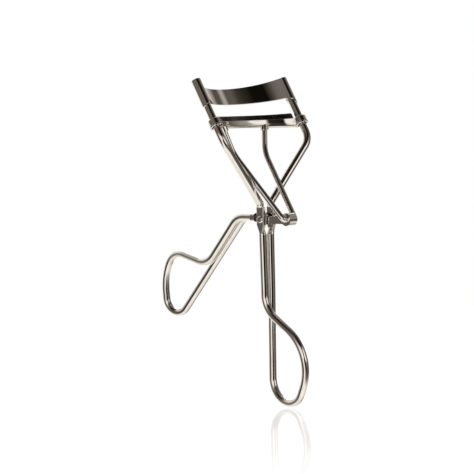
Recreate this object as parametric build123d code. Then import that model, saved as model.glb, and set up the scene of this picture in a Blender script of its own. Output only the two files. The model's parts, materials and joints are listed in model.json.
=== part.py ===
from build123d import *
from math import atan2, cos, degrees, radians, sin
import os

# Eyelash curler, millimetres.  +Z runs up the fixed handle, -Y is the user's side
# (the hollow of the jaws), +X is to the right across the jaws.
# Every piece is drawn about the main pivot and moved at the end, so that the
# origin is the middle of the base of the whole object's bounding box.
PIVOT_HEIGHT = 58.75
PIVOT_Y = -15.8

# wire and sheet stock
WIRE_D = 2.4
LINK_D = 1.8
BLADE_SHEET = 0.35
CHANNEL_SHEET = 0.4
LEVER_SHEET = 0.9

# guide rods: two parallel rods that carry the upper jaw and steer the lower one
ROD_X = 19.5
ROD_TILT = 30.6
RING_Y = 2.4
RING_Z = 30.3
ROD_TOP = 15.45
ROD_BEND = -6.8
ROD_BEND_R = 6.5
ROD_TIP_CHAMFER = 0.25
ROD_FOOT = (2.4, 0.4, 5.0)
ROD_FOOT_R = 1.7
ROD_END_Z = 4.3

# jaws, in the jaw frame: x across, y back, z up along the rods, from the rings' level
BLADE_MIDDLE_Y = 8.78
ROLL_WRAP = 285.0
BLADE_TOP_RISE = 1.8
BLADE_FOOT_END = 8.55
BLADE_FOOT_MIDDLE = 11.6
BLADE_END_X = 17.6
SLEEVE_FOOT = 6.1
CHANNEL_FRONT_STEP = 1.05
CHANNEL_DEPTH = 2.2
CHANNEL_FOOT_END = -1.6
CHANNEL_FOOT_MIDDLE = 3.1
CHANNEL_WALL_END = 1.1
CHANNEL_WALL_MIDDLE = 5.1
PAD_TOP_END = 3.3
PAD_TOP_MIDDLE = 7.2
PAD_END_GAP = 0.15
CURVE_X = 18.2
BAND_OVERLAP = 1.0

# rings that slide on the rods
RING_BORE_D = 3.1
RING_D = 3.9
RING_LIP_D = 4.3
RING_LIP = 0.55
RING_HEIGHT = 2.5
RING_EDGE_R = 0.2
RING_LIP_R = 0.15

# V-shaped link wire from the lever's barrel up to the lower jaw
BARREL_Y = -9.6
BARREL_Z = 0.1
BARREL_D = 4.0
BARREL_BORE_D = 1.92
LINK_LEG_X = 2.67
LINK_KINK = (7.1, 6.84, 20.6)
LINK_TOP = (9.5, 9.0, 29.1)
LINK_KINK_R = 12.0
LINK_CORNER_R = 1.1
COLLAR_D = 2.7
COLLAR_HEIGHT = 1.7

# pivot: the frame's wire is pressed flat on each side into an eye for the rivet
EYE_OUT = 2.9
EYE_IN = 1.75
EYE_FRONT = -1.3
EYE_BACK = 1.7
EYE_TOP = 3.9
EYE_FOOT = -1.8
TONGUE_FOOT = -4.4
TONGUE_HALF = 0.55
EYE_EDGE_R = 0.25
NECK_HALF = 0.45
NECK_TOP = (3.5, 1.2)
NECK_FOOT = (-2.3, 0.9)
RIVET_D = 1.4
RIVET_BORE_D = 1.46
RIVET_HEAD_D = 2.2
RIVET_HEAD = 0.55
RIVET_DOME_R = 0.44

# lever: a folded channel on the rivet, with the barrel in front and the ferrule behind
LEVER_HALF = 1.6
LEVER_FLANGE = 0.7
LEVER_FOOT_Z = -1.3
LEVER_TOE = 1.0
LEVER_WAIST = (-2.6, 0.6)
LEVER_WELL_Y = -1.6
HUB_R = 2.0
SEAM_GAP = 0.12
SEAM_TURN = 20.0
FERRULE_Y = (2.6, 4.3)
FERRULE_Z = (-0.8, 1.95)
FERRULE_HALF = 3.15
FERRULE_CORNER_R = 0.9
WIRE_SEAT = 0.6

# handles: corners of each wire's route (x, y, z) and the bend radius at each one
HANDLE_TOP = (1.75, 0.15, -4.8)
HANDLE_NECK = (1.62, 0.0, -21.0)
HANDLE_NECK_R = 60.0
MOVING_LEG_X = 1.7
MOVING_EXIT_Z = 0.65
FIXED_LOOP = [
    ((-1.55, 0.05, -28.0), 8.2),
    ((-0.6, -19.05, -41.1), 14.0),
    ((0.75, -10.9, -57.55), 6.0),
    ((1.6, 0.4, -57.55), 7.5),
]
MOVING_LOOP = [
    ((-1.55, 24.9, -15.05), 7.0),
    ((-0.5, 41.8, -11.1), 6.9),
    ((0.3, 46.7, -20.3), 19.0),
    ((1.1, 46.7, -30.2), 4.7),
    ((1.6, 40.55, -32.55), 4.7),
]
MOVING_BEND = (10.95, 6.2)

SIDES = {"left": -1, "right": 1}
FAR = 40

tilt = radians(ROD_TILT)
JAW = Plane(origin=(0, RING_Y, RING_Z), x_dir=(1, 0, 0), z_dir=(0, sin(tilt), cos(tilt)))

# the blade's middle surface is an arc that touches both rolled sleeves
roll_r = (WIRE_D + BLADE_SHEET) / 2
blade_r = (ROD_X**2 + BLADE_MIDDLE_Y**2 - roll_r**2) / (2 * (roll_r + BLADE_MIDDLE_Y))
arc_centre = (0, BLADE_MIDDLE_Y - blade_r)
sleeve_angle = degrees(atan2(-arc_centre[1], ROD_X))


def wire(path, diameter):
    """A round wire along a path of runs and tangent arcs."""
    section = Plane(origin=path @ 0, z_dir=path % 0) * Circle(diameter / 2)
    return sweep(section, path=path)


def ring_sector(centre, r_in, r_out, start, size):
    """A flat band between two radii, from a start angle through a size."""
    outer = CenterArc(centre, r_out, start, size)
    inner = CenterArc(centre, r_in, start, size)
    return make_face([outer, Line(outer @ 1, inner @ 1), inner, Line(inner @ 0, outer @ 0)])


def arched_slab(low_end, low_middle, high_end, high_middle, half=CURVE_X):
    """A slab between two arched edges, seen from the front, deep enough for a jaw."""
    low = ThreePointArc((-half, low_end), (0, low_middle), (half, low_end))
    high = ThreePointArc((-half, high_end), (0, high_middle), (half, high_end))
    sides = [Line(low @ 0, high @ 0), Line(low @ 1, high @ 1)]
    return extrude(Plane.XZ * make_face([low, high, *sides]), FAR, both=True)


def jaw_band(r_in, r_out, spread):
    """A tall curved band about the jaws' common centre, in the jaw frame."""
    plan = ring_sector(arc_centre, r_in, r_out, 90 - spread, 2 * spread)
    return extrude(plan, FAR, both=True)


def blade_front():
    """The blade's outline from the front, with each rolled end reaching lower."""
    foot = ThreePointArc(
        (-BLADE_END_X, BLADE_FOOT_END), (0, BLADE_FOOT_MIDDLE), (BLADE_END_X, BLADE_FOOT_END)
    )
    top = ThreePointArc((-CURVE_X, ROD_TOP), (0, ROD_TOP + BLADE_TOP_RISE), (CURVE_X, ROD_TOP))
    edges = [foot, top]
    for side, end in ((-1, 0), (1, 1)):
        wide = side * FAR
        notch = (side * (ROD_X + roll_r), SLEEVE_FOOT)
        edges.append(Polyline(foot @ end, notch, (wide, SLEEVE_FOOT), (wide, ROD_TOP), top @ end))
    return extrude(Plane.XZ * make_face(edges), FAR, both=True)


def upper_jaw():
    """Curved blade whose two ends are rolled round the guide rods."""
    half = BLADE_SHEET / 2
    span = 180 - 2 * sleeve_angle
    plan = ring_sector(arc_centre, blade_r - half, blade_r + half, sleeve_angle, span)
    body = extrude(plan, FAR)
    for side in SIDES.values():
        start = 180 + sleeve_angle if side > 0 else -sleeve_angle - ROLL_WRAP
        centre = (side * ROD_X, 0)
        roll = ring_sector(centre, WIRE_D / 2, WIRE_D / 2 + BLADE_SHEET, start, ROLL_WRAP)
        body += extrude(roll, ROD_TOP)
    return JAW.location * (body & blade_front())


def jaw_point(x, y, z):
    """A point of the jaw frame, in the pivot frame."""
    return JAW.from_local_coords(Vector(x, y, z))


def guide_rod(side):
    """Rod from the top of the jaw, round its bend and down to the flattened eye."""
    foot = Vector(side * ROD_FOOT[0], ROD_FOOT[1], ROD_FOOT[2])
    path = FilletPolyline(
        jaw_point(side * ROD_X, 0, ROD_TOP + ROD_TIP_CHAMFER),
        jaw_point(side * ROD_X, 0, ROD_BEND),
        foot,
        Vector(foot.X, foot.Y, ROD_END_Z),
        radius=[ROD_BEND_R, ROD_FOOT_R],
    )
    rod = wire(path, WIRE_D)
    tip_edge = rod.edges().filter_by(GeomType.CIRCLE).sort_by(Axis.Z)[-1]
    return chamfer(tip_edge, ROD_TIP_CHAMFER)


def handle_top(side):
    """Where the round wire of the upright handle starts, below an eye."""
    return Vector(side * HANDLE_TOP[0], HANDLE_TOP[1], HANDLE_TOP[2])


def handle_neck(side):
    """Where the upright handle's two wires come closest."""
    return Vector(side * HANDLE_NECK[0], HANDLE_NECK[1], HANDLE_NECK[2])


def flat_eye(side):
    """Flattened stretch of the frame's wire, with a neck to the round wire at each end."""
    middle_x = side * (EYE_OUT + EYE_IN) / 2
    outline = [
        (EYE_FRONT, EYE_TOP),
        (EYE_BACK, EYE_TOP),
        (EYE_BACK, EYE_FOOT),
        (TONGUE_HALF, TONGUE_FOOT),
        (-TONGUE_HALF, TONGUE_FOOT),
        (EYE_FRONT, EYE_FOOT),
    ]
    side_view = make_face(Polyline(*outline, close=True))
    plate = extrude(Plane.YZ * side_view, (EYE_OUT - EYE_IN) / 2, both=True)
    faces_out = plate.faces().filter_by(Axis.X)
    body = Pos(middle_x, 0, 0) * fillet(faces_out.edges(), EYE_EDGE_R)
    rod_end = Plane(origin=(side * ROD_FOOT[0], ROD_FOOT[1], ROD_END_Z))
    handle_end = Plane(origin=handle_top(side), z_dir=handle_top(side) - handle_neck(side))
    for end, (z, half_width) in ((rod_end, NECK_TOP), (handle_end, NECK_FOOT)):
        flat = Pos(middle_x, end.origin.Y, z) * Ellipse(NECK_HALF, half_width)
        body += loft([flat, end * Circle(WIRE_D / 2)])
    return body


def frame_wire():
    """One wire: both guide rods, the two eyes at the pivot, and the finger loop."""
    body = fixed_handle()
    for side in SIDES.values():
        body += flat_eye(side) + guide_rod(side)
    return body - Rot(0, 90, 0) * Cylinder(RIVET_D / 2, FAR)


def pivot_rivet():
    """Rivet through both eyes with a domed head on each side."""
    body = Rot(0, 90, 0) * Cylinder(RIVET_D / 2, 2 * EYE_OUT)
    for side in SIDES.values():
        head = Cylinder(RIVET_HEAD_D / 2, RIVET_HEAD, align=(Align.CENTER, Align.CENTER, Align.MIN))
        head = fillet(head.edges().sort_by(Axis.Z)[-1], RIVET_DOME_R)
        body += Pos(side * EYE_OUT, 0, 0) * Rot(0, side * 90, 0) * head
    return body


def lever_side():
    """The lever seen from the side: flanges, hub and rolled barrel, in the local y-z plane."""
    barrel_r = BARREL_D / 2
    tail = FERRULE_Y[0]
    outline = [
        (BARREL_Y, BARREL_Z + barrel_r),
        LEVER_WAIST,
        (0, HUB_R),
        (tail, FERRULE_Z[1]),
        (tail, FERRULE_Z[0]),
        (0, -HUB_R),
        (LEVER_WAIST[0], LEVER_FOOT_Z),
        (BARREL_Y + LEVER_TOE, LEVER_FOOT_Z),
        (BARREL_Y, BARREL_Z),
    ]
    barrel = Pos(BARREL_Y, BARREL_Z)
    shape = make_face(Polyline(*outline, close=True)) + Circle(HUB_R) + barrel * Circle(barrel_r)
    seam = Rectangle(SEAM_GAP, BARREL_D, align=(Align.CENTER, Align.MIN))
    shape -= barrel * Rot(0, 0, SEAM_TURN) * seam
    return shape - barrel * Circle(BARREL_BORE_D / 2) - Circle(RIVET_BORE_D / 2)


def lever_plate():
    """Folded lever: two flanges on the rivet, a floor between them, and a rolled barrel."""
    body = extrude(Plane.YZ * lever_side(), LEVER_HALF, both=True)
    inner = 2 * (LEVER_HALF - LEVER_FLANGE)
    trough = Pos(0, BARREL_Y, LEVER_FOOT_Z + LEVER_SHEET) * Box(
        inner, FAR, FAR, align=(Align.CENTER, Align.MIN, Align.MIN)
    )
    trough -= Pos(0, BARREL_Y, BARREL_Z) * Rot(0, 90, 0) * Cylinder(BARREL_D / 2, FAR)
    well = Pos(0, LEVER_WELL_Y, 0) * Box(inner, FAR, FAR, align=(Align.CENTER, Align.MIN, Align.CENTER))
    return body - trough - well


def handle_ferrule():
    """Cross block on the lever's tail that the moving handle's two wires end in."""
    depth = FERRULE_Y[1] - FERRULE_Y[0]
    height = FERRULE_Z[1] - FERRULE_Z[0]
    body = Pos(0, FERRULE_Y[0], FERRULE_Z[0]) * Box(
        2 * FERRULE_HALF, depth, height, align=(Align.CENTER, Align.MIN, Align.MIN)
    )
    body = fillet(body.edges().filter_by(Axis.Y), FERRULE_CORNER_R)
    return body - moving_handle()


def moving_handle():
    """Wire from the ferrule back to the thumb loop and forward again beside itself."""
    start_y = FERRULE_Y[0] + WIRE_SEAT
    bend_y, bend_r = MOVING_BEND
    corners = [
        ((-MOVING_LEG_X, bend_y, MOVING_EXIT_Z), bend_r),
        *MOVING_LOOP,
        ((MOVING_LEG_X, bend_y, MOVING_EXIT_Z), bend_r),
    ]
    points = [(-MOVING_LEG_X, start_y, MOVING_EXIT_Z)]
    points += [corner for corner, _ in corners]
    points += [(MOVING_LEG_X, start_y, MOVING_EXIT_Z)]
    return wire(FilletPolyline(*points, radius=[radius for _, radius in corners]), WIRE_D)


def fixed_handle():
    """Wire from the eyes' feet down to the finger loop and back up beside itself."""
    left, right = SIDES.values()
    corners = [(handle_neck(left), HANDLE_NECK_R), *FIXED_LOOP, (handle_neck(right), HANDLE_NECK_R)]
    points = [handle_top(left)]
    points += [corner for corner, _ in corners]
    points += [handle_top(right)]
    return wire(FilletPolyline(*points, radius=[radius for _, radius in corners]), WIRE_D)


def ring_hollow(clearance):
    """Stepped bars along both guide rods that follow the rings' outsides."""
    bars = Part()
    lip_top = RING_LIP - RING_HEIGHT / 2
    for side in SIDES.values():
        bars += Pos(side * ROD_X, 0, 0) * Cylinder(RING_D / 2 + clearance, FAR)
        lip = Cylinder(RING_LIP_D / 2 + clearance, FAR, align=(Align.CENTER, Align.CENTER, Align.MAX))
        bars += Pos(side * ROD_X, 0, lip_top) * lip
    return bars


def channel_spread():
    """Half angle of the lower jaw's bands, so that they reach past the rings."""
    return degrees(atan2(ROD_X, -arc_centre[1])) + BAND_OVERLAP


def lower_jaw():
    """Curved channel that holds the pad, cut back to the rings at both ends."""
    front_r = blade_r - CHANNEL_FRONT_STEP
    spread = channel_spread()
    band = jaw_band(front_r, front_r + CHANNEL_DEPTH, spread)
    band &= arched_slab(CHANNEL_FOOT_END, CHANNEL_FOOT_MIDDLE, CHANNEL_WALL_END, CHANNEL_WALL_MIDDLE)
    groove = jaw_band(front_r + CHANNEL_SHEET, front_r + CHANNEL_DEPTH - CHANNEL_SHEET, spread)
    floor = CHANNEL_FOOT_END + CHANNEL_SHEET, CHANNEL_FOOT_MIDDLE + CHANNEL_SHEET
    groove &= arched_slab(*floor, FAR, FAR + 1)
    return JAW.location * (band - groove - ring_hollow(0))


def silicone_pad():
    """Curved strip that fills the channel and stands above its walls."""
    front_r = blade_r - CHANNEL_FRONT_STEP + CHANNEL_SHEET
    back_r = front_r + CHANNEL_DEPTH - 2 * CHANNEL_SHEET
    band = jaw_band(front_r, back_r, channel_spread())
    foot = CHANNEL_FOOT_END + CHANNEL_SHEET, CHANNEL_FOOT_MIDDLE + CHANNEL_SHEET
    band &= arched_slab(*foot, PAD_TOP_END, PAD_TOP_MIDDLE)
    return JAW.location * (band - ring_hollow(PAD_END_GAP))


def guide_ring(side):
    """Loose ring on a guide rod, with a lip at its foot, brazed to the channel's end."""
    half = RING_HEIGHT / 2
    body = Cylinder(RING_D / 2, RING_HEIGHT)
    body = fillet(body.edges().sort_by(Axis.Z)[-1], RING_EDGE_R)
    lip = Pos(0, 0, -half + RING_LIP / 2) * Cylinder(RING_LIP_D / 2, RING_LIP)
    body += fillet(lip.edges(), RING_LIP_R)
    body -= Cylinder(RING_BORE_D / 2, FAR)
    return JAW.location * Pos(side * ROD_X, 0, 0) * body


def link_path():
    """Route of the link wire: down one leg, through the barrel, and up the other."""
    kink = {side: (side * LINK_KINK[0], LINK_KINK[1], LINK_KINK[2]) for side in (-1, 1)}
    top = {side: (side * LINK_TOP[0], LINK_TOP[1], LINK_TOP[2]) for side in (-1, 1)}
    foot = {side: (side * LINK_LEG_X, BARREL_Y, BARREL_Z) for side in (-1, 1)}
    radii = [LINK_KINK_R, LINK_CORNER_R, LINK_CORNER_R, LINK_KINK_R]
    return FilletPolyline(top[-1], kink[-1], foot[-1], foot[1], kink[1], top[1], radius=radii)


def under_channel():
    """Everything below the lower jaw's floor."""
    return JAW.location * arched_slab(-FAR - 1, -FAR, CHANNEL_FOOT_END, CHANNEL_FOOT_MIDDLE)


def link_wire():
    """V-shaped wire through the barrel, up to the lower jaw's floor on both sides."""
    return wire(link_path(), LINK_D) & under_channel()


def link_collar(side):
    """Sleeve where one leg of the link wire meets the lower jaw."""
    path = link_path()
    top, down = (path @ 0, path % 0) if side < 0 else (path @ 1, -(path % 1))
    blank = Cylinder(COLLAR_D / 2, COLLAR_HEIGHT, align=(Align.CENTER, Align.CENTER, Align.MIN))
    body = Plane(origin=top, z_dir=down) * blank
    return (body & under_channel()) - link_wire()


def build():
    nodes = {
        "frame_wire": frame_wire(),
        "upper_jaw": upper_jaw(),
        "pivot_rivet": pivot_rivet(),
        "lever_plate": lever_plate(),
        "handle_ferrule": handle_ferrule(),
        "moving_handle": moving_handle(),
        "link_wire": link_wire(),
        "lower_jaw": lower_jaw(),
        "silicone_pad": silicone_pad(),
    }
    for name, side in SIDES.items():
        nodes["guide_ring_" + name] = guide_ring(side)
        nodes["link_collar_" + name] = link_collar(side)
    return nodes


os.makedirs("parts", exist_ok=True)
for node, shape in build().items():
    placed = Pos(0, PIVOT_Y, PIVOT_HEIGHT) * shape
    export_step(placed, f"parts/{node}.step")
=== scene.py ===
import json
import math

import bmesh
import bpy
from mathutils import Matrix, Vector


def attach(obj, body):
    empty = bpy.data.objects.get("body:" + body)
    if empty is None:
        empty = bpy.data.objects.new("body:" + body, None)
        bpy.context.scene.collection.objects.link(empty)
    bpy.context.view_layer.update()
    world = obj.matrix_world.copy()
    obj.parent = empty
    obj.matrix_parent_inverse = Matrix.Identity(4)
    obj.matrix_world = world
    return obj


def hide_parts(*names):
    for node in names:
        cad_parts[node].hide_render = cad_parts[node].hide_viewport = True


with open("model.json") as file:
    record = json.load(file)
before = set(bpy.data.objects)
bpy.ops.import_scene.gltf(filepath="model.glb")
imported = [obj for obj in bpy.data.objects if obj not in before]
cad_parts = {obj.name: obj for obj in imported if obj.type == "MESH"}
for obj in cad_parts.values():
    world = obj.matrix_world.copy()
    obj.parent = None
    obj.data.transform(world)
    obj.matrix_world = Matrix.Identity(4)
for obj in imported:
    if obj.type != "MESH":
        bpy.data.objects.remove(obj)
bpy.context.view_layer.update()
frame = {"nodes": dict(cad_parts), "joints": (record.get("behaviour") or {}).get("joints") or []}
nodes = frame["nodes"]
pivot = Vector(next(j for j in frame["joints"] if j["name"] == "handle_squeeze")["pos_m"])
MM = 0.001

# ---------------------------------------------------------------- camera
CAM_AZIMUTH = math.radians(-46.0)
CAM_ELEVATION = math.radians(3.7)
CAM_ROLL = math.radians(1.33)
CAM_DISTANCE = 0.6483
CAM_ASIDE = 0.00925
CAM_BELOW = 0.00561
CAM_LENS = 157.56

level_right = Vector((math.cos(CAM_AZIMUTH), math.sin(CAM_AZIMUTH), 0))
toward = Vector((
    math.sin(CAM_AZIMUTH) * math.cos(CAM_ELEVATION),
    -math.cos(CAM_AZIMUTH) * math.cos(CAM_ELEVATION),
    math.sin(CAM_ELEVATION),
))
level_up = toward.cross(level_right)
right = level_right * math.cos(CAM_ROLL) - level_up * math.sin(CAM_ROLL)
up = level_right * math.sin(CAM_ROLL) + level_up * math.cos(CAM_ROLL)

camera_data = bpy.data.cameras.new("camera")
camera_data.lens = CAM_LENS
camera_data.sensor_width = 36.0
camera_data.clip_start = 0.01
camera_data.clip_end = 20.0
camera = bpy.data.objects.new("camera", camera_data)
camera.location = pivot + toward * CAM_DISTANCE - right * CAM_ASIDE - up * CAM_BELOW
camera.rotation_mode = "QUATERNION"
camera.rotation_quaternion = Matrix((right, up, toward)).transposed().to_quaternion()
bpy.context.scene.collection.objects.link(camera)
bpy.context.scene.camera = camera
bpy.context.scene.view_settings.view_transform = "Standard"


# ---------------------------------------------------------------- node helpers
def shade(colour):
    """A grey number or a colour, with its alpha."""
    return (*((colour,) * 3 if isinstance(colour, (int, float)) else colour), 1.0)


class Graph:
    """A short way to add nodes to a node tree and join them."""

    def __init__(self, tree):
        self.tree = tree
        self.tree.nodes.clear()

    def add(self, kind, inputs=(), **settings):
        node = self.tree.nodes.new(kind)
        for name, value in settings.items():
            setattr(node, name, value)
        for key, value in dict(inputs).items():
            self.put(node.inputs[key], value)
        return node

    def put(self, socket, value):
        if isinstance(value, bpy.types.NodeSocket):
            self.tree.links.new(value, socket)
        else:
            socket.default_value = value

    def math(self, operation, a, b=None, c=None):
        """One step of arithmetic on up to three values."""
        values = {i: v for i, v in enumerate((a, b, c)) if v is not None}
        return self.add("ShaderNodeMath", values, operation=operation).outputs[0]

    def level(self, value, low, high):
        """Straight rise from 0 to 1 as value goes from low to high."""
        node = self.add("ShaderNodeMapRange", {0: value})
        node.inputs[1].default_value, node.inputs[2].default_value = low, high
        return node.outputs[0]

    def tint(self, colour, by):
        node = self.add("ShaderNodeMix", data_type="RGBA", blend_type="MULTIPLY")
        for i, value in ((0, 1.0), (6, colour), (7, by)):
            self.put(node.inputs[i], value)
        return node.outputs[2]

    def noise(self, place, scale, detail, roughness):
        inputs = {"Vector": place, "Scale": scale, "Detail": detail, "Roughness": roughness}
        return self.add("ShaderNodeTexNoise", inputs).outputs[0]

    def step(self, value, low, high, to_low=0.0, to_high=1.0):
        """Smooth step of value from low to high."""
        node = self.add("ShaderNodeMapRange", {0: value}, interpolation_type="SMOOTHSTEP")
        for i, number in enumerate((low, high, to_low, to_high)):
            node.inputs[1 + i].default_value = number
        return node.outputs[0]

    def ramp(self, value, stops):
        """Grey or colour stops at 0 to 1."""
        node = self.add("ShaderNodeValToRGB", {0: value})
        band = node.color_ramp
        first, *inner, last = sorted(stops)
        band.elements[0].position, band.elements[0].color = first[0], shade(first[1])
        band.elements[1].position, band.elements[1].color = last[0], shade(last[1])
        for place, colour in inner:
            band.elements.new(place).color = shade(colour)
        return node.outputs[0]

    def blend(self, factor, a, b):
        node = self.add("ShaderNodeMix", data_type="RGBA")
        self.put(node.inputs[0], factor)
        self.put(node.inputs[6], a)
        self.put(node.inputs[7], b)
        return node.outputs[2]


def material(name):
    """A new material and the graph of its empty node tree."""
    made = bpy.data.materials.new(name)
    made.use_nodes = True
    return made, Graph(made.node_tree)


# ---------------------------------------------------------------- studio round the object
# The studio is dark in front and overhead and bright behind, with a tall light bank left of the
# camera and a smaller one up on its right, over a pale table. Each ring is a height in degrees and
# the brightness round it, by turn in degrees from the camera's side, where left is less than nothing.
# They are an estimate of the real studio, measured from the bright and dark bands that the polished
# metal mirrors, then rounded and adjusted.
RINGS = [
    (-50, [
        (-180, 0.85), (-120, 0.80), (-64, 0.80), (-44, 0.95), (40, 0.95), (84, 0.80), (104, 0.60),
        (118, 0.25), (144, 0.25), (156, 0.60), (180, 0.70),
    ]),
    (-30, [
        (-180, 1.05), (-140, 0.85), (-108, 0.50), (-88, 0.20), (-66, 0.06), (-57, 0.08), (-50, 0.60),
        (-40, 0.90), (-10, 0.90), (2, 0.35), (40, 0.20), (60, 0.04), (70, 0.04), (80, 0.35),
        (108, 0.75), (130, 0.75), (146, 0.30), (164, 0.75), (180, 1.05),
    ]),
    (-14, [
        (-180, 1.10), (-132, 0.95), (-108, 0.40), (-92, 0.25), (-82, 0.08), (-70, 0.04), (-60, 0.08),
        (-46, 0.30), (-30, 0.70), (-8, 0.90), (1, 0.15), (8, 0.0), (36, 0.0), (46, 0.15), (66, 0.18),
        (90, 0.12), (110, 0.08), (128, 0.50), (160, 0.80), (173, 1.00), (180, 1.10),
    ]),
    (0, [
        (-180, 1.00), (-140, 0.85), (-118, 0.70), (-108, 0.40), (-100, 0.14), (-80, 0.17), (-62, 0.28),
        (-52, 0.46), (-36, 0.85), (-22, 1.05), (-11, 0.80), (-3, 0.05), (3, 0.0), (24, 0.0), (32, 0.06),
        (44, 0.16), (56, 0.28), (74, 0.28), (90, 0.15), (106, 0.05), (130, 0.10), (166, 0.12),
        (173, 1.00), (180, 1.00),
    ]),
    (10, [
        (-180, 1.10), (-160, 0.95), (-118, 0.65), (-98, 0.40), (-90, 0.15), (-76, 0.12), (-60, 0.26),
        (-44, 0.50), (-34, 1.05), (-20, 1.35), (7, 1.30), (11, 0.03), (34, 0.02), (40, 1.15),
        (64, 1.15), (76, 0.40), (94, 0.30), (108, 0.22), (118, 0.16), (140, 0.20), (164, 0.70),
        (180, 1.10),
    ]),
    (27, [
        (-180, 1.05), (-162, 1.00), (-148, 0.65), (-126, 0.80), (-106, 0.70), (-90, 0.45), (-78, 0.15),
        (-54, 0.10), (-40, 0.12), (-30, 0.16), (-10, 0.21), (4, 0.35), (12, 0.10), (32, 0.10),
        (39, 0.55), (46, 0.95), (60, 0.90), (70, 0.35), (92, 0.35), (104, 0.25), (118, 0.18),
        (134, 0.12), (148, 0.60), (170, 1.05), (180, 1.05),
    ]),
    (37, [
        (-180, 0.90), (-160, 0.90), (-104, 0.70), (-90, 0.25), (-68, 0.05), (-46, 0.05), (-30, 0.22),
        (-10, 0.22), (4, 0.08), (10, 0.008), (38, 0.008), (52, 0.04), (66, 0.04), (80, 0.08),
        (92, 0.16), (106, 0.14), (114, 0.45), (119, 0.45), (125, 0.10), (134, 0.08), (150, 0.30),
        (166, 0.75), (180, 0.90),
    ]),
    (62, [
        (-180, 0.75), (-118, 0.70), (-108, 0.06), (-70, 0.03), (44, 0.02), (66, 0.06), (80, 0.09),
        (92, 0.14), (104, 0.16), (116, 0.33), (150, 0.50), (180, 0.75),
    ]),
]
OVERHEAD = (75, 0.16)
UNDERFOOT = (-72, 0.75)
# Brightness as seen is gain x (ring ^ contrast), up to the brightest.
CONTRAST = 1.3
GAIN = 1.35
BRIGHTEST = 1.06
# The darker the studio's surfaces, the warmer they are.
WARMTH = [
    (0.0, (1.0, 0.80, 0.62)),
    (0.1, (1.0, 0.89, 0.79)),
    (0.5, (1.0, 0.95, 0.89)),
    (1.0, (1.0, 0.975, 0.93)),
]
WHITE = (1.0, 1.0, 1.0, 1.0)

world = bpy.data.worlds.new("studio")
bpy.context.scene.world = world
world.use_nodes = True
g = Graph(world.node_tree)
direction = g.add("ShaderNodeTexCoord").outputs["Generated"]
aside = g.add("ShaderNodeVectorMath", {0: direction, 1: tuple(level_right)}, operation="DOT_PRODUCT")
ahead = g.add(
    "ShaderNodeVectorMath",
    {0: direction, 1: (math.sin(CAM_AZIMUTH), -math.cos(CAM_AZIMUTH), 0)},
    operation="DOT_PRODUCT",
)
turn = g.math("ARCTAN2", aside.outputs["Value"], ahead.outputs["Value"])
share = g.math("MULTIPLY_ADD", turn, 0.5 / math.pi, 0.5)
height = g.math("ARCSINE", g.add("ShaderNodeSeparateXYZ", {0: direction}).outputs[2])
around = shade(UNDERFOOT[1])
below = UNDERFOOT[0]
for degrees, ring in RINGS:
    here = g.ramp(share, [(0.5 + place / 360, grey) for place, grey in ring])
    rise = g.level(height, math.radians(below), math.radians(degrees))
    around = g.blend(rise, around, here)
    below = degrees
rise = g.level(height, math.radians(below), math.radians(OVERHEAD[0]))
around = g.blend(rise, around, shade(OVERHEAD[1]))
around = g.math("MULTIPLY", g.math("POWER", around, CONTRAST), GAIN)
around = g.math("MINIMUM", around, BRIGHTEST)
around = g.tint(around, g.ramp(around, WARMTH))
# The camera itself sees a white backdrop.
seen = g.add("ShaderNodeLightPath").outputs["Is Camera Ray"]
colour = g.blend(seen, around, WHITE)
sky = g.add("ShaderNodeBackground", {"Color": colour, "Strength": 1.0})
g.add("ShaderNodeOutputWorld", {"Surface": sky.outputs[0]})

# ---------------------------------------------------------------- table
FLOOR_R = 0.30
TABLE_GLOW = 0.95
TABLE_GREY = 0.30
# The table's mirror image fades with distance from the object.
SHINE = 0.28
SHINE_NEAR = 0.02
SHINE_FAR = 0.17
mesh = bpy.data.meshes.new("floor")
bm = bmesh.new()
bmesh.ops.create_circle(bm, cap_ends=True, radius=FLOOR_R, segments=128)
bm.to_mesh(mesh)
bm.free()
floor = bpy.data.objects.new("floor", mesh)
bpy.context.scene.collection.objects.link(floor)
floor_look, g = material("white_table")
glow = g.add("ShaderNodeEmission", {"Color": (1.0, 0.998, 0.995, 1), "Strength": TABLE_GLOW})
matt = g.add("ShaderNodeBsdfDiffuse", {"Color": shade(TABLE_GREY)})
both = g.add("ShaderNodeAddShader", {0: glow.outputs[0], 1: matt.outputs[0]})
gloss = g.add("ShaderNodeBsdfGlossy", {"Color": WHITE, "Roughness": 0.04})
spot = g.add("ShaderNodeTexCoord").outputs["Object"]
reach = g.add("ShaderNodeVectorMath", {0: spot, 1: (pivot.x, pivot.y, 0)}, operation="DISTANCE")
polish = g.step(reach.outputs["Value"], SHINE_NEAR, SHINE_FAR, SHINE, 0.0)
mixed = g.add("ShaderNodeMixShader", {0: polish, 1: both.outputs[0], 2: gloss.outputs[0]})
# The metal mirrors the studio's own table, which the rings hold, so this one leaves it clear.
mirrored = g.add("ShaderNodeLightPath").outputs["Is Glossy Ray"]
gone = g.add("ShaderNodeBsdfTransparent")
whole = g.add("ShaderNodeMixShader", {0: mirrored, 1: mixed.outputs[0], 2: gone.outputs[0]})
g.add("ShaderNodeOutputMaterial", {"Surface": whole.outputs[0]})
mesh.materials.append(floor_look)


# ---------------------------------------------------------------- light
SOFTBOX_AWAY = Vector((0.45, 0.45, 0.45))
SOFTBOX_SIZE = (0.5, 0.35)
SOFTBOX_WATTS = 0.5


def soft_light(name, place, size, watts, tint=(1.0, 0.97, 0.92)):
    """A soft rectangular light that faces the pivot."""
    data = bpy.data.lights.new(name, "AREA")
    data.shape = "RECTANGLE"
    data.size, data.size_y = size
    data.energy = watts
    data.color = tint
    lamp = bpy.data.objects.new(name, data)
    lamp.location = place
    lamp.rotation_mode = "QUATERNION"
    lamp.rotation_quaternion = (Vector(place) - pivot).to_track_quat("Z", "Y")
    bpy.context.scene.collection.objects.link(lamp)


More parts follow.
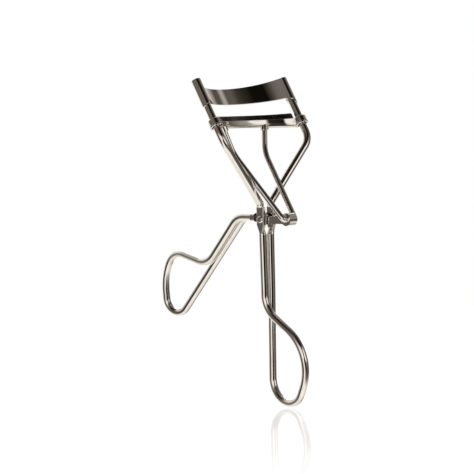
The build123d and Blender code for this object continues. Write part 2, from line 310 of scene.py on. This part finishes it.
soft_light("softbox_back", pivot + SOFTBOX_AWAY, SOFTBOX_SIZE, SOFTBOX_WATTS)


# ---------------------------------------------------------------- nickel
BRIGHT = (0.835, 0.80, 0.765)
DULL = (0.76, 0.715, 0.67)
RUBBED = (0.87, 0.84, 0.80)


def nickel(name, bright, dull, rough, grain=(1, 1, 1), lines=0.4):
    """Polished nickel plate: handling marks, fine polishing lines and a worn edge.
    grain stretches the polishing lines: a small number makes them long in that direction."""
    made, g = material(name)
    place = g.add("ShaderNodeTexCoord").outputs["Object"]
    clouds = g.noise(place, 240.0, 3.0, 0.55)
    along = g.add("ShaderNodeVectorMath", {0: place, 1: grain}, operation="MULTIPLY").outputs[0]
    fine = g.noise(along, 4200.0, 3.0, 0.6)
    pits = g.add("ShaderNodeTexVoronoi", {"Vector": place, "Scale": 900.0})
    worn = g.step(g.add("ShaderNodeNewGeometry").outputs["Pointiness"], 0.53, 0.60)
    smear = g.step(clouds, 0.45, 0.72)
    base = g.blend(smear, shade(bright), shade(dull))
    base = g.blend(g.math("MULTIPLY", worn, 0.6), base, shade(RUBBED))
    roughness = g.math("MULTIPLY_ADD", smear, 0.04, rough)
    roughness = g.math("MULTIPLY_ADD", g.step(fine, 0.55, 0.80), 0.03, roughness)
    pitted = g.step(pits.outputs[0], 0.0, 0.10, 0.5, 0.0)
    relief = g.math("MULTIPLY_ADD", fine, lines, pitted)
    bump = g.add("ShaderNodeBump", {"Strength": 0.02, "Distance": 0.00001, "Height": relief})
    shader = g.add("ShaderNodeBsdfPrincipled", {
        "Base Color": base, "Metallic": 1.0, "Roughness": roughness, "Normal": bump.outputs[0],
    })
    g.add("ShaderNodeOutputMaterial", {"Surface": shader.outputs[0]})
    return made


def dress(look, *names):
    """Puts a look on every slot of the named CAD nodes."""
    for name in names:
        slots = nodes[name].material_slots
        if not slots:
            nodes[name].data.materials.append(look)
        for slot in slots:
            slot.material = look


wire_look = nickel("nickel_wire", BRIGHT, DULL, 0.025)
sheet_look = nickel("nickel_sheet", BRIGHT, DULL, 0.03, grain=(0.05, 1, 1), lines=1.0)
turned_look = nickel("nickel_turned", (0.82, 0.785, 0.745), (0.72, 0.675, 0.625), 0.06)
dress(wire_look, "frame_wire", "moving_handle", "link_wire")
dress(sheet_look, "upper_jaw")
dress(turned_look, "pivot_rivet", "lever_plate", "handle_ferrule")
dress(turned_look, "guide_ring_left", "guide_ring_right", "link_collar_left", "link_collar_right")

# ---------------------------------------------------------------- lower jaw's channel and its pad
# The jaw frame: X along the jaws, q to the back and p up the guide rods, from the rings' middle.
# Sizes are in millimetres. The curve is the arc through both rods' centres. It meets the CAD's
# curve in the middle but is flatter, so at their ends these two pieces stand about 1.2 mm off the
# CAD. A section's points are (out, p), where out is how far behind the circle of FRONT_R one lies.
ROD_TILT = math.radians(30.6)
RING_Y = 2.4
RING_Z = 30.3
JAW_ORIGIN = pivot + Vector((0, RING_Y, RING_Z)) * MM
JAW_Q = Vector((0, math.cos(ROD_TILT), -math.sin(ROD_TILT)))
JAW_P = Vector((0, math.sin(ROD_TILT), math.cos(ROD_TILT)))
ROD_X = 19.5
BLADE_MIDDLE = 8.78
ARC_R = (ROD_X**2 + BLADE_MIDDLE**2) / (2 * BLADE_MIDDLE)
ARC_Q = BLADE_MIDDLE - ARC_R
FRONT_STEP = 1.05
FRONT_R = ARC_R - FRONT_STEP
CHANNEL_DEPTH = 2.2
SHEET = 0.4
CURVE_X = 18.2
# heights at the curve's ends and at its middle
FOOT = (-1.6, 3.1)
WALL_TOP = (1.1, 5.1)
PAD_TOP = (3.45, 7.2)
# the foot is rolled between the two walls and a narrow flat
FOOT_R = 0.95
FOOT_FLAT = (1.05, 1.15)
FRONT_OUT = 0.20
WALL_LEAN = math.tan(math.radians(19))
ROLL_STEPS = 8
# the pad's crown, its ribbed ends and the gaps to the rods
CROWN = 0.75
CROWN_STEPS = 14
RIB_PITCH = 0.62
RIBBED = 3.5 * RIB_PITCH
RIB_DEPTH = 0.09
PAD_SLACK = 0.02
PAD_TO_ROD = 2.10
CHANNEL_TO_ROD = 1.98
STATIONS = 260


def arched(x, end, middle):
    """Height at x of the arc through end at the curve's ends and middle at its middle."""
    rise = middle - end
    radius = (CURVE_X**2 + rise**2) / (2 * rise)
    return middle - radius + math.sqrt(radius**2 - x**2)


def foot_at(x):
    """Height of the channel's underside at x."""
    return arched(x, *FOOT)


def front_at(x, p):
    """The channel's front wall leans out as it rises."""
    return FRONT_OUT - WALL_LEAN * max(0.0, p - foot_at(x) - FOOT_R)


def channel_section(x, from_end):
    """A trough of bent sheet: leaning front wall, rolled foot and upright back wall."""
    foot, top = foot_at(x), arched(x, *WALL_TOP)
    back = CHANNEL_DEPTH
    lip = front_at(x, top)
    flat_start, flat_end = FOOT_FLAT
    quarter = [math.radians(90 * i / ROLL_STEPS) for i in range(ROLL_STEPS + 1)]
    points = [
        (flat_start - (flat_start - FRONT_OUT) * math.sin(turn), foot + FOOT_R * (1 - math.cos(turn)))
        for turn in quarter
    ]
    # up the front wall's outside
    points += [(front_at(x, foot + FOOT_R + 0.3), foot + FOOT_R + 0.3)]
    points += [(front_at(x, top - below), top - below) for below in (0.30, 0.12, 0.05)]
    # over its rounded lip
    points += [(lip + 0.03, top - 0.01), (lip + 0.10, top), (lip + SHEET - 0.10, top)]
    points += [(lip + SHEET - 0.02, top - 0.03), (lip + SHEET, top - 0.12)]
    # down the inside, across the trough and up the back wall
    points += [(front_at(x, foot + 1.2) + SHEET, foot + 1.2), (0.85, foot + 0.62), (1.1, foot + SHEET)]
    points += [(1.5, foot + 0.55), (back - SHEET, foot + 1.1)]
    # over the back wall's lip
    points += [(back - SHEET, top - 0.12), (back - SHEET + 0.03, top - 0.02), (back - 0.10, top)]
    points += [(back - 0.02, top - 0.03), (back, top - 0.12), (back, foot + FOOT_R)]
    points += [
        (flat_end + (back - flat_end) * math.cos(turn), foot + FOOT_R * (1 - math.sin(turn)))
        for turn in quarter[1:-1]
    ]
    return points


def pad_section(x, from_end):
    """A moulded strip: it fills the trough, swells at the wall's top and has a rounded crown."""
    foot, top = foot_at(x) + SHEET + PAD_SLACK, arched(x, *PAD_TOP)
    wall = arched(x, *WALL_TOP)
    rib = 0.0
    if from_end < RIBBED:
        rib = RIB_DEPTH * (0.5 - 0.5 * math.cos(2 * math.pi * from_end / RIB_PITCH))
    # the strip's last fifth of a millimetre is rounded off
    tuck = 0.12 * max(0.0, 1 - from_end / 0.2)
    left = front_at(x, wall) + SHEET + rib + tuck
    right = CHANNEL_DEPTH - SHEET - PAD_SLACK - rib - tuck
    middle, half = (left + right) / 2, (right - left) / 2 + 0.10
    shoulder = wall + 0.35
    outline = [(0.95, foot), (0.70, foot + 0.35)]
    outline += [(front_at(x, p) + SHEET + 0.01, p) for p in (foot + 0.9, wall - 0.05)]
    outline += [(left - 0.10, wall + 0.12), (left - 0.12, shoulder)]
    for i in range(CROWN_STEPS + 1):
        turn = math.pi * i / CROWN_STEPS
        aside = math.copysign(abs(math.cos(turn)) ** 0.7, math.cos(turn))
        lift = (CROWN - rib - tuck) * math.sin(turn) ** 0.6
        outline.append((middle - half * aside, top - CROWN + lift))
    outline += [(right + 0.06, shoulder), (right, wall), (right, foot + 0.9), (1.40, foot + 0.25)]
    return outline


def ring_turn(radius, clear):
    """Turn about the jaws' centre at which a circle of that radius comes within clear of a rod."""
    reach = (radius**2 + ARC_R**2 - clear**2) / (2 * radius * ARC_R)
    return math.asin(ROD_X / ARC_R) - math.acos(min(1.0, reach))


def strip(name, section, clear):
    """Sweeps a section round the jaws' curve; both ends are hollowed to fit round the rings."""
    middle_r = FRONT_R + CHANNEL_DEPTH / 2
    middle_turn = ring_turn(middle_r, clear)
    bm = bmesh.new()
    rows = []
    for i in range(STATIONS + 1):
        share = -1 + 2 * i / STATIONS
        x = middle_r * math.sin(share * middle_turn)
        from_end = (1 - abs(share)) * middle_turn * middle_r
        row = []
        for out, p in section(x, from_end):
            radius = FRONT_R + out
            turn = share * ring_turn(radius, clear)
            place = JAW_ORIGIN + (
                Vector((radius * math.sin(turn), 0, 0))
                + JAW_Q * (ARC_Q + radius * math.cos(turn))
                + JAW_P * p
            ) * MM
            row.append(bm.verts.new(place))
        rows.append(row)
    count = len(rows[0])
    for one, other in zip(rows, rows[1:]):
        for k in range(count):
            n = (k + 1) % count
            bm.faces.new((one[k], one[n], other[n], other[k]))
    bm.faces.new(list(reversed(rows[0])))
    bm.faces.new(rows[-1])
    bmesh.ops.recalc_face_normals(bm, faces=bm.faces)
    for face in bm.faces:
        face.smooth = len(face.verts) == 4
    mesh = bpy.data.meshes.new(name)
    bm.to_mesh(mesh)
    bm.free()
    made = bpy.data.objects.new(name, mesh)
    bpy.context.scene.collection.objects.link(made)
    return made


# moulded silicone: glossy black with faint dust and a fine skin
pad_look, g = material("black_silicone")
place = g.add("ShaderNodeTexCoord").outputs["Object"]
skin = g.noise(place, 2600.0, 3.0, 0.5)
haze = g.noise(place, 420.0, 2.0, 0.5)
dusty = g.step(haze, 0.45, 0.75)
black = g.blend(dusty, (0.010, 0.010, 0.011, 1), (0.030, 0.029, 0.028, 1))
roughness = g.math("MULTIPLY_ADD", dusty, 0.12, 0.17)
bump = g.add("ShaderNodeBump", {"Strength": 0.08, "Distance": 0.00002, "Height": skin})
shader = g.add("ShaderNodeBsdfPrincipled", {
    "Base Color": black, "Roughness": roughness, "Normal": bump.outputs[0], "Specular IOR Level": 1.0,
})
g.add("ShaderNodeOutputMaterial", {"Surface": shader.outputs[0]})

pad = strip("pad_strip", pad_section, PAD_TO_ROD)
pad.data.materials.append(pad_look)
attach(pad, "sliding_jaw")
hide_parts("silicone_pad")

channel = strip("jaw_channel", channel_section, CHANNEL_TO_ROD)
channel.data.materials.append(sheet_look)
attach(channel, "sliding_jaw")
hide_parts("lower_jaw")
